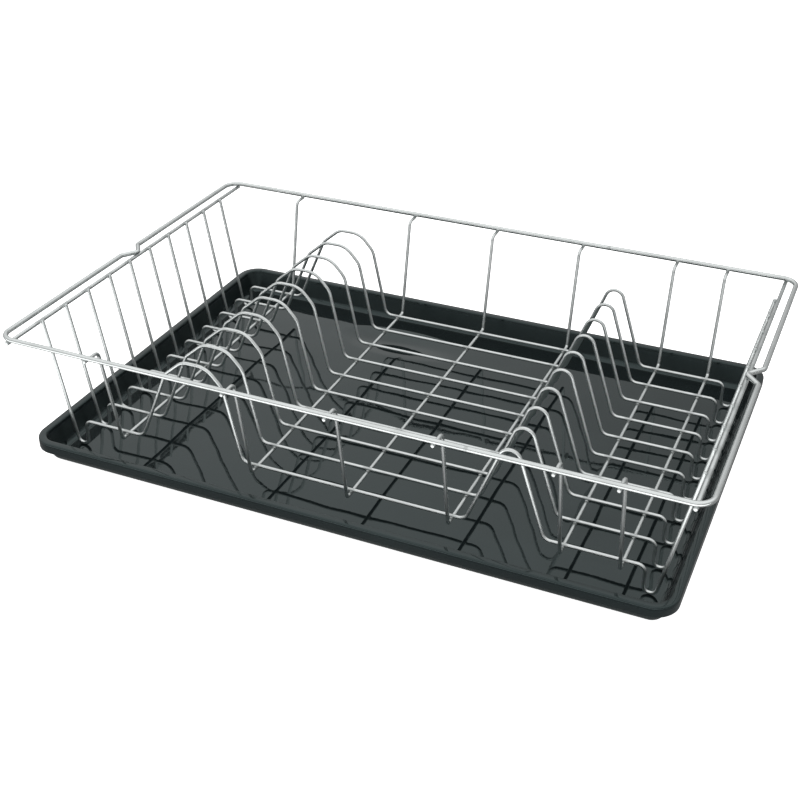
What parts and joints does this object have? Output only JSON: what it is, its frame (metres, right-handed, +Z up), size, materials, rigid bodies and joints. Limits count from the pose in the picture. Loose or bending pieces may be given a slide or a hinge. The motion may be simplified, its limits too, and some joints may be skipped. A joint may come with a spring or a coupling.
{
  "type": "dish drying rack",
  "caption": "Low bright-wire dish basket with a row of wide plate humps and a row of narrow ones, standing in a shallow dark drip tray.",
  "frame": {"origin": "bottom centre of the whole rack, on the surface that the tray stands on", "axes": "+X along the length to the right, +Y to the back, +Z up; the front long side is at -Y"},
  "size_m": [0.4836, 0.3202, 0.1023],
  "materials": {
    "tray_plastic": "smooth glossy moulded plastic, dark grey",
    "bright_wire": "bright plated steel wire, slightly satin"
  },
  "bodies": {
    "tray": {"drip_tray": "tray_plastic"},
    "basket": {"rim_wire": "bright_wire", "left_side_rail": "bright_wire", "right_side_rail": "bright_wire", "plate_wire_01": "bright_wire", "plate_wire_02": "bright_wire", "plate_wire_03": "bright_wire", "plate_wire_04": "bright_wire", "plate_wire_05": "bright_wire", "plate_wire_06": "bright_wire", "plate_wire_07": "bright_wire", "plate_wire_08": "bright_wire", "plate_wire_09": "bright_wire", "plate_wire_10": "bright_wire", "cross_wire_1": "bright_wire", "cross_wire_2": "bright_wire", "cross_wire_3": "bright_wire", "cross_wire_4": "bright_wire", "cross_wire_5": "bright_wire", "cross_wire_6": "bright_wire"}
  },
  "joints": [
    {"name": "basket_lift", "type": "slide", "parent": "tray", "child": "basket", "axis": [0, 0, 1], "range_m": [0, 0.14]}
  ]
}
